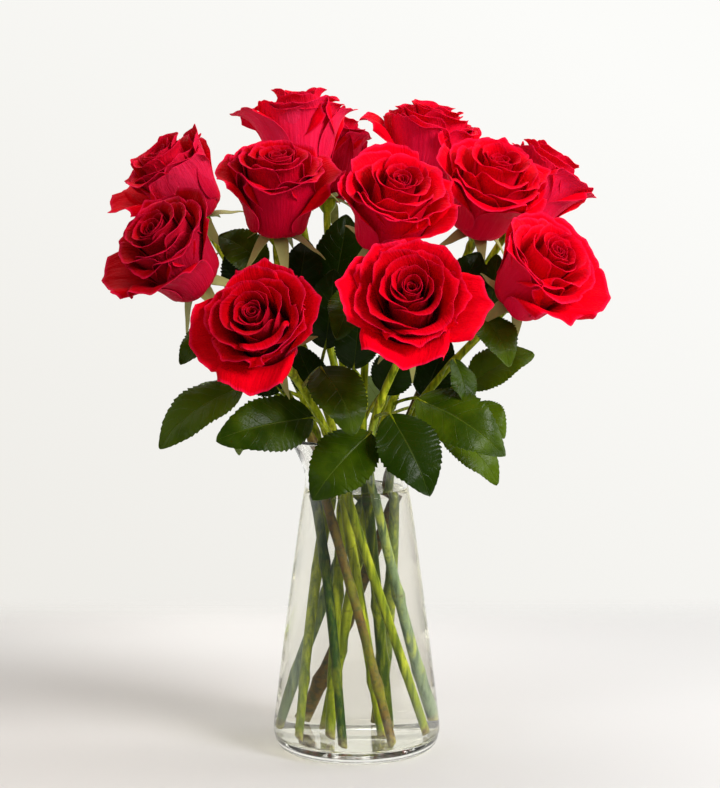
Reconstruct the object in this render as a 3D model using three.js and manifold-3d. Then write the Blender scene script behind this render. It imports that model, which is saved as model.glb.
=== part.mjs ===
// A dozen red roses in a tapered clear glass vase of water.
// Millimetres, +Z up. The origin is the middle of the vase's flat underside, and -Y is the front of the
// bouquet.
import * as THREE from "three";
import { mergeVertices } from "three/addons/utils/BufferGeometryUtils.js";
import Module from "manifold-3d";

const wasm = await Module();
wasm.setup();

// ---------- driving dimensions ----------
const VASE = {
  height: 205,
  footRadius: 44,
  widestRadius: 54,
  widestHeight: 15,
  neckRadius: 33.2,
  neckHeight: 178,
  lipRadius: 45,
  wall: 3,
  lipWall: 2.4,
  floor: 8,
  sides: 24,
};
const WATER = { level: 171, gap: 0.35, sides: 18 };
// A stem leaves the neck straight for a while (rise) and comes to its bloom along the bloom's axis
// (approach).
const STEM = { radius: 3.1, sides: 6, bends: 4, footHeight: 9.8, holeGap: 0.4, rise: 50, approach: 55 };
const HIP = { radius: 6.2, length: 11, belly: 5, sunk: 1, sides: 6, gap: 0.3 };
// Along a petal, in shares of its length: it swells up to swellTo, is as wide as the cup at cupAt,
// flares up to flareTo and curls from curlFrom. shoulder and rounding shape its outline, and narrow is
// how much its tip draws in.
const PETAL = {
  thickness: 0.7,
  columns: 3,
  steps: 24,
  swellTo: 0.34,
  cupAt: 0.55,
  flareTo: 0.76,
  curlFrom: 0.72,
  shoulder: 0.24,
  rounding: 2.4,
  narrow: 0.12,
  ripples: 4.2,
};
// The blade's half width follows a sine drawn towards its base; its stalk bows up by lift.
const LEAF = {
  thickness: 0.7,
  rows: 7,
  tooth: 0.1,
  tipHalf: 0.8,
  toBase: 0.82,
  fullness: 0.85,
  stalkRows: 2,
  stalkHalf: 1.2,
  stalkBend: 0.55,
  stalkLift: 3,
};
// Details finer than this are smoothed away when pieces are joined.
const SMALLEST = 0.05;

// ---------- the roses ----------
// base: where the petals leave the stem. axis: the way the bloom faces. neck and foot: the stem's place
// in the vase's neck and on its floor. guards: the outer petals, [turn round the axis, length, half
// width, flare, curl], in degrees and millimetres; a turn of 0 is the bloom's right as seen from the
// front, and 90 its back or top.
const ROSES = [
  {
    name: "rose_01",
    base: [-37, 50, 369],
    axis: [0.0, 0.05, 1],
    size: 1.12,
    neck: [-5, 8],
    foot: [-14, -14],
    seed: 11,
    guards: [
      [186, 60, 27, 36, 95],
      [130, 58, 24, 34, 80],
      [5, 56, 22, 20, 80],
      [70, 56, 24, 24, 70],
      [262, 56, 31, 6, 80],
    ],
  },
  {
    name: "rose_02",
    base: [-103, 56, 341],
    axis: [-0.5, -0.22, 0.84],
    size: 1.12,
    neck: [-21, 8],
    foot: [-8, -38],
    seed: 22,
    guards: [
      [200, 60, 27, 50, 90],
      [140, 56, 24, 40, 95],
      [20, 60, 26, 8, 20],
      [80, 54, 24, 34, 80],
      [285, 55, 25, 24, 50],
    ],
  },
  {
    name: "rose_03",
    base: [-100, -17, 305],
    axis: [-0.5, -0.54, 0.68],
    size: 1.14,
    neck: [-20, -9],
    foot: [21, -33],
    seed: 33,
    guards: [
      [190, 58, 27, 46, 85],
      [262, 58, 26, 42, 80],
      [330, 56, 27, 16, 45],
      [30, 58, 26, 22, 60],
      [108, 58, 26, 34, 60],
    ],
  },
  {
    name: "rose_04",
    base: [-50, -19, 338],
    axis: [0.03, -0.42, 0.91],
    size: 1.12,
    neck: [-8, -5],
    foot: [14, -14],
    seed: 44,
    guards: [
      [176, 56, 24, 20, 105],
      [4, 56, 25, 26, 95],
      [85, 56, 25, 18, 60],
      [264, 54, 32, 5, 85],
      [130, 53, 23, 12, 50],
    ],
  },
  {
    name: "rose_05",
    base: [-51, -64, 270],
    axis: [-0.24, -0.82, 0.52],
    size: 1.04,
    neck: [-8, -21],
    foot: [38, -8],
    seed: 55,
    guards: [
      [196, 58, 27, 52, 80],
      [262, 62, 27, 56, 90],
      [318, 55, 27, 22, 30],
      [12, 57, 25, 40, 85],
      [85, 57, 26, 38, 70],
    ],
  },
  {
    name: "rose_06",
    base: [17, -30, 331],
    axis: [0.2, -0.6, 0.77],
    size: 1.14,
    neck: [5, -8],
    foot: [14, 14],
    seed: 66,
    guards: [
      [188, 56, 23, 30, 50],
      [100, 58, 24, 26, 50],
      [322, 56, 25, 36, 60],
      [262, 53, 31, 9, 65],
      [30, 54, 23, 26, 60],
    ],
  },
  {
    name: "rose_07",
    base: [32, -72, 284],
    axis: [0.02, -0.85, 0.53],
    size: 1.1,
    neck: [9, -21],
    foot: [33, 21],
    seed: 77,
    guards: [
      [358, 61, 27, 54, 80],
      [262, 62, 29, 52, 70],
      [168, 59, 26, 46, 80],
      [84, 54, 26, 26, 50],
      [122, 55, 24, 34, 70],
    ],
  },
  {
    name: "rose_08",
    base: [41, 62, 360],
    axis: [0.22, -0.1, 0.97],
    size: 1.12,
    neck: [8, 21],
    foot: [-38, 8],
    seed: 88,
    guards: [
      [184, 62, 20, 40, 110],
      [240, 56, 25, 12, 40],
      [0, 58, 22, 38, 80],
      [60, 56, 24, 26, 75],
      [120, 56, 24, 28, 75],
    ],
  },
  {
    name: "rose_09",
    base: [78, 24, 337],
    axis: [0.25, -0.5, 0.83],
    size: 1.14,
    neck: [8, 5],
    foot: [-14, 14],
    seed: 99,
    guards: [
      [190, 60, 24, 28, 50],
      [254, 54.5, 31, 20, 100],
      [318, 50, 23, 30, 95],
      [80, 56, 24, 24, 60],
      [20, 56, 22, 24, 60],
    ],
  },
  {
    name: "rose_10",
    base: [104, 62, 338],
    axis: [0.55, 0.08, 0.83],
    size: 1.08,
    neck: [21, 9],
    foot: [-21, 33],
    seed: 110,
    guards: [
      [0, 58, 26, 20, 60],
      [310, 57, 26, 18, 60],
      [60, 56, 26, 22, 70],
      [130, 54, 24, 18, 60],
      [230, 54, 24, 16, 50],
    ],
  },
  {
    name: "rose_11",
    base: [99, -22, 294],
    axis: [0.5, -0.58, 0.64],
    size: 1.1,
    neck: [21, -9],
    foot: [8, 38],
    seed: 121,
    guards: [
      [350, 60, 28, 46, 70],
      [292, 56, 24, 46, 85],
      [208, 54, 27, 12, 40],
      [100, 55, 25, 32, 55],
      [45, 58, 26, 40, 75],
    ],
  },
  {
    name: "rose_12",
    base: [-20, 100, 352],
    axis: [0.0, 0.3, 0.95],
    size: 1.04,
    neck: [-8, 21],
    foot: [-33, -21],
    seed: 132,
    guards: [
      [262, 60, 22, 8, 20],
      [330, 54, 24, 14, 60],
      [205, 58, 24, 16, 40],
      [50, 58, 26, 40, 85],
      [125, 58, 26, 46, 85],
    ],
  },
];

// The petals inside the guards, from the heart outwards: how many, root radius, cup radius, length,
// half width, slimness at the root, lean, flare and curl. from: the share of its length at which a
// petal is already inside the heart.
const RINGS = [
  {
    count: 2,
    root: 2,
    radius: 6,
    length: 48,
    half: 11,
    slim: 0.8,
    lean: 2,
    flare: -4,
    curl: 8,
    from: 0.52,
    rows: 1,
  },
  {
    count: 3,
    root: 3,
    radius: 12.5,
    length: 57,
    half: 20,
    slim: 0.6,
    lean: 4,
    flare: -2,
    curl: 26,
    from: 0.38,
    rows: 2,
  },
];
const INNER = { rise: 0, wrap: 1, roll: 0, wave: 0, phase: 0 };
const GUARD = {
  root: 4,
  radius: 22,
  rise: 4.4,
  slim: 0.3,
  lean: 10,
  from: 0.1,
  rows: 2,
  wrap: 1.1,
  roll: 0.1,
  wave: 0.5,
};
// Each petal stands further out, and each guard starts lower, than the one before it. A ring is turned
// by twist from the last one, and its petals are up to scatter degrees off their even places.
const LAYER = { out: 1.7, down: 0.8, twist: 40, scatter: 8 };
// The body that the petals stand out of: radius at each height.
const HEART = { radii: [[0, 0], [9, 0], [21, 8], [18, 24], [0, 24]], sides: 6 };

// ---------- the leaflets ----------
// rose: whose stem it grows on. from: the height on the stem. base and tip: the ends of the blade.
// face: where its upper side looks. half: half the width. fold: how far the two halves lift, in
// degrees. arch: rise of the rib.
const LEAFLETS = [
  {
    rose: 3, from: 226, half: 18, fold: 14, arch: 7,
    base: [-72, -32, 240], tip: [-124, -46, 205], face: [-0.2, -0.65, 0.7],
  },
  {
    rose: 5, from: 208, half: 19, fold: 12, arch: 4,
    base: [-27, -56, 224], tip: [-84, -86, 216], face: [0.05, -0.9, 0.45],
  },
  {
    rose: 7, from: 206, half: 20, fold: 10, arch: 4,
    base: [9, -59, 215], tip: [-27, -81, 178], face: [-0.15, -0.9, 0.4],
  },
  {
    rose: 7, from: 220, half: 20, fold: 12, arch: 4,
    base: [21, -58, 226], tip: [45, -84, 181], face: [0.15, -0.85, 0.5],
  },
  {
    rose: 5, from: 238, half: 19, fold: 14, arch: 4,
    base: [-22, -62, 256], tip: [0, -87, 220], face: [0.35, -0.8, 0.5],
  },
  {
    rose: 11, from: 212, half: 19, fold: 12, arch: 8,
    base: [38, -37, 233], tip: [92, -60, 202], face: [0.1, -0.85, 0.5],
  },
  {
    rose: 11, from: 212, half: 14, fold: 14, arch: 5,
    base: [56, -16, 212], tip: [90, -32, 180], face: [0.3, -0.8, 0.5],
  },
  {
    rose: 10, from: 225, half: 15, fold: 20, arch: 5,
    base: [72, 4, 236], tip: [112, 0, 259], face: [-0.3, -0.8, 0.5],
  },
  {
    rose: 11, from: 242, half: 11, fold: 20, arch: 3,
    base: [61, -30, 257], tip: [68, -46, 230], face: [0.6, -0.7, 0.3],
  },
  {
    rose: 3, from: 247, half: 14, fold: 14, arch: 3,
    base: [-78, -20, 280], tip: [-110, -44, 258], face: [-0.2, -0.75, 0.6],
  },
  {
    rose: 6, from: 270, half: 13, fold: 14, arch: 3,
    base: [0, -34, 300], tip: [-12, -62, 276], face: [0.1, -0.85, 0.5],
  },
  {
    rose: 4, from: 285, half: 14, fold: 12, arch: 3,
    base: [-57, -6, 314], tip: [-87, -2, 334], face: [-0.2, -0.75, 0.6],
  },
  {
    rose: 11, from: 262, half: 13, fold: 16, arch: 3,
    base: [80, -26, 284], tip: [96, -44, 256], face: [0.2, -0.7, 0.65],
  },
  {
    rose: 12, from: 250, half: 19, fold: 12, arch: 4,
    base: [-16, 30, 288], tip: [-6, 22, 344], face: [0.1, -1, 0.1],
  },
  {
    rose: 4, from: 262, half: 14, fold: 12, arch: 4,
    base: [-38, 4, 288], tip: [-32, 12, 330], face: [0, -1, 0.1],
  },
  {
    rose: 2, from: 270, half: 14, fold: 14, arch: 4,
    base: [-74, 24, 290], tip: [-72, 14, 334], face: [-0.1, -1, 0.1],
  },
  {
    rose: 6, from: 236, half: 14, fold: 12, arch: 4,
    base: [-2, -22, 250], tip: [2, -30, 290], face: [0.1, -1, 0.2],
  },
  {
    rose: 4, from: 236, half: 17, fold: 12, arch: 4,
    base: [-20, -12, 262], tip: [-14, -14, 312], face: [0.1, -1, 0.2],
  },
  {
    rose: 9, from: 262, half: 16, fold: 14, arch: 3,
    base: [60, 4, 284], tip: [78, 0, 322], face: [-0.1, -1, 0.1],
  },
  {
    rose: 6, from: 214, half: 14, fold: 12, arch: 4,
    base: [16, -14, 234], tip: [34, -24, 268], face: [0.1, -1, 0.3],
  },
  {
    rose: 9, from: 222, half: 14, fold: 12, arch: 4,
    base: [43, 7, 228], tip: [59, 3, 266], face: [-0.1, -1, 0.1],
  },
  {
    rose: 3, from: 214, half: 14, fold: 14, arch: 4,
    base: [-48, -20, 236], tip: [-74, -28, 264], face: [-0.1, -1, 0.3],
  },
  {
    rose: 8, from: 240, half: 16, fold: 12, arch: 4,
    base: [28, 30, 270], tip: [12, 22, 318], face: [0, -1, 0.1],
  },
  {
    rose: 4, from: 214, half: 12, fold: 14, arch: 4,
    base: [-24, -12, 232], tip: [-38, -14, 264], face: [-0.1, -1, 0.3],
  },
  {
    rose: 10, from: 222, half: 12, fold: 14, arch: 4,
    base: [74, 2, 224], tip: [94, -12, 205], face: [0.1, -0.85, 0.5],
  },
  {
    rose: 2, from: 225, half: 16, fold: 14, arch: 8,
    base: [-68, 26, 236], tip: [-122, 40, 214], face: [-0.3, 0.1, 0.9],
  },
  {
    rose: 2, from: 212, half: 17, fold: 12, arch: 6,
    base: [-50, 34, 214], tip: [-80, 70, 184], face: [-0.5, 0.4, 0.7],
  },
  {
    rose: 12, from: 224, half: 18, fold: 12, arch: 7,
    base: [2, 76, 232], tip: [20, 114, 198], face: [0.1, 0.7, 0.7],
  },
  {
    rose: 8, from: 208, half: 17, fold: 12, arch: 6,
    base: [38, 52, 216], tip: [66, 82, 186], face: [0.3, 0.6, 0.7],
  },
  {
    rose: 10, from: 262, half: 11, fold: 14, arch: 3,
    base: [86, 12, 286], tip: [90, 4, 320], face: [0, -1, 0.1],
  },
];
const SEPALS = { count: 5, reach: 30, notch: 4, thickness: 0.8, height: -3.4, drop: 0.3, unevenness: 0.5 };

// ---------- small helpers ----------
const rad = THREE.MathUtils.degToRad;
const vec = (a) => new THREE.Vector3(...a);
const smooth = (low, high, x) => THREE.MathUtils.smoothstep(x, low, high);

// The same run of numbers from 0 to 1 for the same seed.
function numbersFrom(seed) {
  let state = seed;
  return () => {
    state = (state * 16807) % 2147483647;
    return state / 2147483647;
  };
}

// A three.js geometry as a manifold-3d solid.
function solidOf(geometry) {
  const bare = new THREE.BufferGeometry().setAttribute("position", geometry.getAttribute("position"));
  if (geometry.index) bare.setIndex(geometry.index);
  const merged = mergeVertices(bare, 1e-4);
  return new wasm.Manifold(
    new wasm.Mesh({
      numProp: 3,
      vertProperties: new Float32Array(merged.attributes.position.array),
      triVerts: new Uint32Array(merged.index.array),
    }),
  );
}

// The largest piece of a manifold-3d solid as a three.js geometry.
function geometryOf(solid) {
  const pieces = solid.simplify(SMALLEST).decompose().sort((a, b) => b.volume() - a.volume());
  const mesh = pieces[0].getMesh();
  return new THREE.BufferGeometry()
    .setAttribute("position", new THREE.BufferAttribute(new Float32Array(mesh.vertProperties), 3))
    .setIndex(new THREE.BufferAttribute(new Uint32Array(mesh.triVerts), 1));
}

// A closed blade of even thickness round the surface at(u, v), with u from -1 to 1 and v from 0 to 1.
// Both faces are cut into triangles the same way.
function blade(at, columns, rows, thickness) {
  const plane = new THREE.PlaneGeometry(2, 1, columns, rows);
  const flat = plane.getAttribute("position");
  const count = flat.count;
  const points = new Float32Array(count * 6);
  const step = 0.02;
  for (let i = 0; i < count; i++) {
    const u = flat.getX(i);
    const v = flat.getY(i) + 0.5;
    const across = at(u + step, v).sub(at(u - step, v));
    const along = at(u, Math.min(1, v + step)).sub(at(u, Math.max(0, v - step)));
    const normal = across.cross(along).normalize().multiplyScalar(thickness / 2);
    at(u, v).add(normal).toArray(points, i * 3);
    at(u, v).sub(normal).toArray(points, (count + i) * 3);
  }
  const index = [];
  for (let i = 0; i < plane.index.count; i += 3) {
    const [a, b, c] = [0, 1, 2].map((k) => plane.index.getX(i + k));
    index.push(a, b, c, a + count, c + count, b + count);
  }
  const wide = columns + 1;
  const rim = [];
  for (let j = 0; j < rows; j++) rim.push(j * wide);
  for (let i = 0; i < columns; i++) rim.push(rows * wide + i);
  for (let j = rows; j > 0; j--) rim.push(j * wide + columns);
  for (let i = columns; i > 0; i--) rim.push(i);
  rim.forEach((a, k) => {
    const b = rim[(k + 1) % rim.length];
    index.push(a + count, b + count, b, a + count, b, a);
  });
  const positions = new THREE.BufferAttribute(points, 3);
  return new THREE.BufferGeometry().setAttribute("position", positions).setIndex(index);
}

// A closed rod of one radius through the given points, mitred where it bends.
function rod(points, radius, sides) {
  const steps = points.length - 1;
  const drum = new THREE.CylinderGeometry(1, 1, 1, sides, steps).rotateX(Math.PI / 2);
  const place = drum.getAttribute("position");
  const turn = new THREE.Quaternion();
  const ways = points.map((point, k) => {
    const [before, after] = [points[Math.max(0, k - 1)], points[Math.min(steps, k + 1)]];
    return after.clone().sub(before).normalize();
  });
  let last = new THREE.Vector3(0, 0, 1);
  const turns = ways.map((way) => {
    turn.premultiply(new THREE.Quaternion().setFromUnitVectors(last, way));
    last = way;
    return turn.clone();
  });
  for (let i = 0; i < place.count; i++) {
    const k = Math.round((place.getZ(i) + 0.5) * steps);
    const point = new THREE.Vector3(place.getX(i), place.getY(i), 0).multiplyScalar(radius);
    point.applyQuaternion(turns[k]).add(points[k]).toArray(place.array, i * 3);
  }
  return drum;
}

// A turned shape: [radius, height] points from the axis up the outside and back to the axis.
function turned(profile, sides) {
  const lathe = new THREE.LatheGeometry(profile.map(([r, z]) => new THREE.Vector2(r, z)), sides);
  return lathe.rotateX(Math.PI / 2);
}

// ---------- petals ----------
// A petal's middle line: it leaves the base, swells to the cup's radius, then flares and curls.
function petalLine(p) {
  const { steps, swellTo, cupAt, flareTo, curlFrom } = PETAL;
  const line = (root) => {
    const points = [[p.root, p.rise, root]];
    for (let k = 1; k <= steps; k++) {
      const s = (k - 0.5) / steps;
      let angle = root + (p.lean - root) * smooth(0, swellTo, s);
      angle += (p.flare - p.lean) * smooth(swellTo, flareTo, s) + (p.curl - p.flare) * smooth(curlFrom, 1, s);
      const [r, z] = points[k - 1];
      const stride = p.length / steps;
      points.push([r + stride * Math.sin(rad(angle)), z + stride * Math.cos(rad(angle)), angle]);
    }
    return points;
  };
  // The angle at the root that brings the petal out to the cup's radius is found by halving.
  let [low, high] = [-20, 130];
  const halvings = 20;
  for (let k = 0; k < halvings; k++) {
    const middle = (low + high) / 2;
    if (line(middle)[Math.round(steps * cupAt)][0] < p.radius) low = middle;
    else high = middle;
  }
  return line(low);
}

// A petal's surface round the axis +Z: u runs across it and v from its root to its tip.
function petalSurface(p) {
  const line = petalLine(p);
  const turn = rad(p.turn);
  const out = new THREE.Vector3(Math.cos(turn), Math.sin(turn), 0);
  const side = new THREE.Vector3(-Math.sin(turn), Math.cos(turn), 0);
  return (u, v) => {
    const across = Math.abs(u);
    const outline = 1 - PETAL.shoulder * across ** PETAL.rounding * smooth(0.2, 1, v);
    const reach = (p.from + (1 - p.from) * v) * outline;
    const at = Math.min(0.999, Math.max(0, reach)) * (line.length - 1);
    const k = Math.floor(at);
    const mix = (n) => line[k][n] + (line[k + 1][n] - line[k][n]) * (at - k);
    const [r, z, angle] = [mix(0), mix(1), rad(mix(2))];
    const widening = p.slim + (1 - p.slim) * smooth(0.25, 0.95, reach);
    const x = u * p.half * widening * (1 - PETAL.narrow * smooth(0.8, 1, v));
    const bend = Math.max(r, 4) * p.wrap;
    let sag = bend * (1 - Math.cos(x / bend));
    sag -= p.roll * p.half * smooth(0.5, 1, across) * smooth(0.35, 1, v);
    sag += p.wave * Math.sin(PETAL.ripples * u + p.phase) * smooth(0.5, 1, v);
    const radial = r - sag * Math.cos(angle);
    return out
      .clone()
      .multiplyScalar(radial)
      .addScaledVector(side, bend * Math.sin(x / bend))
      .setZ(z + sag * Math.sin(angle));
  };
}

// Every petal of a bloom, from the heart outwards. The guards that open widest lie outside the others.
function petalsOf(rose) {
  const next = numbersFrom(rose.seed);
  const petals = [];
  let turn = next() * 360;
  for (const ring of RINGS) {
    for (let k = 0; k < ring.count; k++) {
      turn += 360 / ring.count + (next() * 2 - 1) * LAYER.scatter;
      petals.push({ ...INNER, ...ring, turn, radius: ring.radius + k * LAYER.out });
    }
    turn += LAYER.twist;
  }
  const guards = [...rose.guards].sort((a, b) => a[3] + a[4] / 4 - b[3] - b[4] / 4);
  guards.forEach(([at, length, half, flare, curl], k) => {
    const place = { radius: GUARD.radius + k * LAYER.out, rise: GUARD.rise - k * LAYER.down, turn: at };
    petals.push({ ...GUARD, ...place, length, half, flare, curl, phase: next() * 6 });
  });
  return petals;
}

function bloom(rose) {
  const petal = (p) => blade(petalSurface(p), PETAL.columns, p.rows, PETAL.thickness);
  const solids = petalsOf(rose).map((p) => solidOf(petal(p)));
  const heart = solidOf(turned(HEART.radii, HEART.sides));
  return geometryOf(wasm.Manifold.union([heart, ...solids]).scale(rose.size));
}

// ---------- stems and leaves ----------
// The way a bloom stands: x to its right, z along its axis.
function basisOf(rose) {
  const z = vec(rose.axis).normalize();
  const x = new THREE.Vector3(1, 0, 0).addScaledVector(z, -z.x).normalize();
  return new THREE.Matrix4().makeBasis(x, z.clone().cross(x), z);
}

// A stem runs straight from its foot to the vase's neck, then bends up to its bloom.
function stemCurve(rose) {
  const axis = vec(rose.axis).normalize();
  const base = vec(rose.base);
  const neck = new THREE.Vector3(...rose.neck, VASE.neckHeight);
  const foot = new THREE.Vector3(...rose.foot, STEM.footHeight);
  const below = (distance) => base.clone().addScaledVector(axis, -distance);
  const rise = neck.clone().sub(foot).setLength(STEM.rise);
  const leaving = neck.clone().add(rise);
  const upper = new THREE.CubicBezierCurve3(neck, leaving, below(STEM.approach), below(HIP.length));
  return { foot, neck, upper };
}

// The hip under a bloom and its star of drooping sepals, round the axis +Z with the petals' base at the
// origin.
function calyx(rose) {
  const next = numbersFrom(rose.seed + 7);
  const { radius, length, belly, sunk, sides, gap } = HIP;
  const { count, reach, notch, drop, unevenness, height, thickness } = SEPALS;
  const neck = STEM.radius - gap;
  const low = -length - sunk;
  const hip = turned([[0, low], [neck, low], [radius, -belly], [radius, -gap], [0, -gap]], sides);
  const star = turned([[0, 0], [1, 0], [1, 1], [0, 1]], count * 2);
  const place = star.getAttribute("position");
  const droops = Array.from({ length: count }, () => drop + next() * unevenness);
  for (let i = 0; i < place.count; i++) {
    const [x, y, z] = [place.getX(i), place.getY(i), place.getZ(i)];
    const share = Math.hypot(x, y);
    const point = Math.round((Math.atan2(y, x) / Math.PI) * count + count * 2) % (count * 2);
    const long = point % 2 === 0;
    const stretch = share && (long ? reach : notch);
    const fall = long ? reach * droops[point / 2] * share : 0;
    place.setXYZ(i, x * stretch, y * stretch, height + thickness * z - fall);
  }
  return solidOf(hip).add(solidOf(star));
}

// A leaflet on its stalk, cut from one arched sheet: a narrow strip leads from the stem to the base of
// the blade, which is folded along its rib and has a toothed edge.
function leaflet(leaf, curve) {
  const start = pointAtHeight(curve, leaf.from);
  const [base, tip] = [vec(leaf.base), vec(leaf.tip)];
  const bend = start.clone().lerp(base, LEAF.stalkBend).add(new THREE.Vector3(0, 0, LEAF.stalkLift));
  const stalk = new THREE.QuadraticBezierCurve3(start, bend, base);
  const share = LEAF.stalkRows / LEAF.rows;
  const along = tip.clone().sub(base);
  const frame = (way) => {
    const side = way.clone().cross(vec(leaf.face)).normalize();
    return { side, up: side.clone().cross(way).normalize() };
  };
  const strip = frame(base.clone().sub(start));
  const body = frame(along);
  const at = (u, v) => {
    if (v <= share) return stalk.getPoint(v / share).addScaledVector(strip.side, -u * LEAF.stalkHalf);
    const t = (v - share) / (1 - share);
    const tooth = 1 + (Math.round(v * LEAF.rows) % 2 ? LEAF.tooth : -LEAF.tooth);
    const half = LEAF.tipHalf + leaf.half * Math.sin(Math.PI * t ** LEAF.toBase) ** LEAF.fullness * tooth;
    const fold = rad(leaf.fold);
    return base
      .clone()
      .addScaledVector(along, t)
      .addScaledVector(body.up, leaf.arch * Math.sin(Math.PI * t) + Math.abs(u) * half * Math.sin(fold))
      .addScaledVector(body.side, -u * half * Math.cos(fold));
  };
  return solidOf(blade(at, 2, LEAF.rows, LEAF.thickness));
}

// The point where a stem passes the height z above the neck.
function pointAtHeight(curve, z) {
  const points = curve.getSpacedPoints(60);
  return points.find((point) => point.z > z) ?? points[60];
}

// The stem's rod: one straight length in the vase and a few short ones above it.
function stalk(line) {
  const points = [line.foot, ...line.upper.getSpacedPoints(STEM.bends)];
  return rod(points, STEM.radius, STEM.sides);
}

function stem(rose, number) {
  const line = stemCurve(rose);
  const placed = new THREE.Matrix4().makeTranslation(...rose.base).multiply(basisOf(rose));
  const parts = [solidOf(stalk(line)), calyx(rose).transform(placed.elements)];
  for (const leaf of LEAFLETS.filter((one) => one.rose === number)) parts.push(leaflet(leaf, line.upper));
  return wasm.Manifold.union(parts);
}

// ---------- vase and water ----------
const taperTop = { radius: VASE.neckRadius + 0.6, height: VASE.neckHeight - 10 };
const floorRadius = VASE.footRadius + 2;
const innerHeel = [VASE.widestRadius - VASE.wall - 0.4, VASE.widestHeight + 2];

// The outside from the foot up: a rounded heel, a straight taper, a short neck, then the flare of the
// lip.
function vaseOutside() {
  const { footRadius, widestRadius, widestHeight, neckRadius, neckHeight, lipRadius, height } = VASE;
  const heel = widestRadius - footRadius;
  const flare = lipRadius - neckRadius;
  return [
    [footRadius, 0],
    [footRadius + heel * 0.6, widestHeight * 0.15],
    [footRadius + heel * 0.9, widestHeight * 0.5],
    [widestRadius, widestHeight],
    [taperTop.radius, taperTop.height],
    [neckRadius, neckHeight],
    [neckRadius + flare * 0.2, neckHeight + (height - neckHeight) / 3],
    [lipRadius, height],
  ];
}

function vase() {
  const outside = vaseOutside();
  const { wall, lipWall, floor, sides } = VASE;
  const neck = outside.slice(4, -1).map(([r, z]) => [r - wall, z]);
  const lip = [VASE.lipRadius - lipWall, VASE.height];
  const inside = [[0, floor], [floorRadius, floor], innerHeel, ...neck, lip];
  return turned([[0, 0], ...outside, ...inside.reverse()], sides);
}

function water(curves) {
  const { wall, floor } = VASE;
  const { gap, level, sides } = WATER;
  const profile = [
    [0, floor + gap],
    [floorRadius - gap * 2, floor + gap],
    [innerHeel[0] - gap * 1.6, innerHeel[1]],
    [taperTop.radius - wall - gap * 1.3, taperTop.height],
    [taperTop.radius - wall - gap * 1.9, level],
    [0, level],
  ];
  const holes = curves.map((curve) => {
    const foot = curve.foot.clone().lerp(curve.neck, -0.02); // a little below the stem's own foot
    return solidOf(rod([foot, curve.neck], STEM.radius + STEM.holeGap, STEM.sides));
  });
  return solidOf(turned(profile, sides)).subtract(wasm.Manifold.union(holes));
}

// ---------- the whole object ----------
const look = (color, roughness, more) =>
  new THREE.MeshStandardMaterial({ color, roughness, metalness: 0, ...more });
const clear = { transparent: true, opacity: 0.3 };
const looks = {
  glass: look(0xe6eeea, 0.05, clear),
  water: look(0xe9efe8, 0.02, clear),
  petal: look(0xb8001c, 0.55),
  stem: look(0x3c6a1c, 0.5),
};

const bouquet = new THREE.Group();
function add(name, geometry, material) {
  const mesh = new THREE.Mesh(geometry, material);
  mesh.name = name;
  bouquet.add(mesh);
  return mesh;
}

const curves = ROSES.map(stemCurve);
add("vase", geometryOf(solidOf(vase())), looks.glass);
add("water", geometryOf(water(curves)), looks.water);
ROSES.forEach((rose, i) => {
  const head = add(`${rose.name}_bloom`, bloom(rose), looks.petal);
  head.applyMatrix4(new THREE.Matrix4().makeTranslation(...rose.base).multiply(basisOf(rose)));
  add(`${rose.name}_stem`, geometryOf(stem(rose, i + 1)), looks.stem);
});

export default bouquet;
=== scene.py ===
import math
import random

import bpy
import numpy as np
from mathutils import Matrix, Vector


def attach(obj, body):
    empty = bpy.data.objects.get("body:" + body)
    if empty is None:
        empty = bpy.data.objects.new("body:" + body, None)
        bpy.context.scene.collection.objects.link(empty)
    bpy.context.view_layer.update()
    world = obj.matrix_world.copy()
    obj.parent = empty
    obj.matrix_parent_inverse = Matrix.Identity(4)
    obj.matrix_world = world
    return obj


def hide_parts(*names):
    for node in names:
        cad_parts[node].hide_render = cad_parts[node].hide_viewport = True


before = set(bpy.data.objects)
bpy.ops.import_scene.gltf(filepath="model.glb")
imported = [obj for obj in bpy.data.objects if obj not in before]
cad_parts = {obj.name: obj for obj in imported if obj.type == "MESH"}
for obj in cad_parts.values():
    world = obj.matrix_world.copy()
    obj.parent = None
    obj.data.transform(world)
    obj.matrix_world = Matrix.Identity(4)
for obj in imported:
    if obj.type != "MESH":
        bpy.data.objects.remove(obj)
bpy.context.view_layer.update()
scene = bpy.context.scene
mm = 0.001  # sizes and places are in millimetres; noise and bump in the finishes are in metres
print("frame loaded:", len(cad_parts), "solids")

scene.view_settings.view_transform = "Standard"
scene.cycles.max_bounces = 40  # thick glass round water takes many
scene.cycles.transmission_bounces = 40
scene.cycles.glossy_bounces = 20
scene.cycles.diffuse_bounces = 6


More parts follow.
